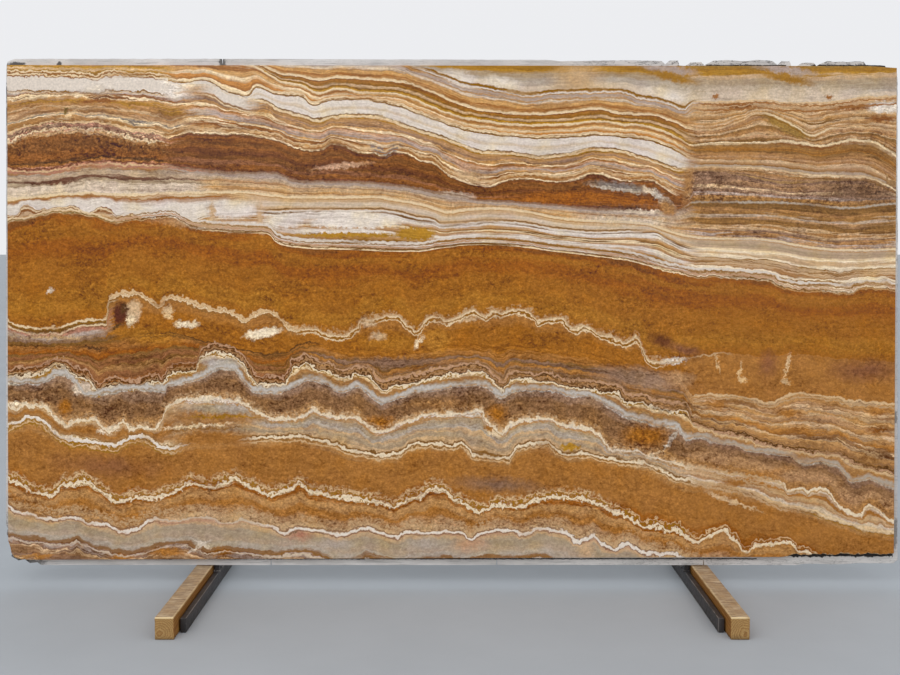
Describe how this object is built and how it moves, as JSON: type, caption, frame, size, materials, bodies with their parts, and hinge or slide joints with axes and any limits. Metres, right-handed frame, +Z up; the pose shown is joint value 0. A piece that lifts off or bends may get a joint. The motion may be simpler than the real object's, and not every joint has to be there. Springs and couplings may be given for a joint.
{
  "type": "polished onyx slab on a display stand",
  "caption": "Large polished slab of banded tiger onyx glued to a pale backing board, leaning back on a low timber and steel slab stand.",
  "frame": {"origin": "middle of the stand's footprint, on the floor under the slab", "axes": "+Z up, +X along the slab's length to the right as one faces it, -Y out of the polished face, which leans back by 4.5 degrees"},
  "size_m": [2.722, 0.9, 1.6022],
  "materials": {
    "tiger_onyx": "polished",
    "backing_resin": "matt, glass-fibre mesh set in resin",
    "sawn_softwood": "rough sawn and weathered",
    "painted_steel": "worn dark grey paint"
  },
  "bodies": {
    "root": {"onyx_slab": "tiger_onyx", "backing_board": "backing_resin", "left_timber_bearer": "sawn_softwood", "right_timber_bearer": "sawn_softwood", "left_steel_foot": "painted_steel", "right_steel_foot": "painted_steel", "left_upright": "painted_steel", "right_upright": "painted_steel", "left_back_stay": "painted_steel", "right_back_stay": "painted_steel", "lower_cross_rail": "painted_steel", "upper_cross_rail": "painted_steel", "floor_cross_rail": "painted_steel"}
  },
  "joints": []
}
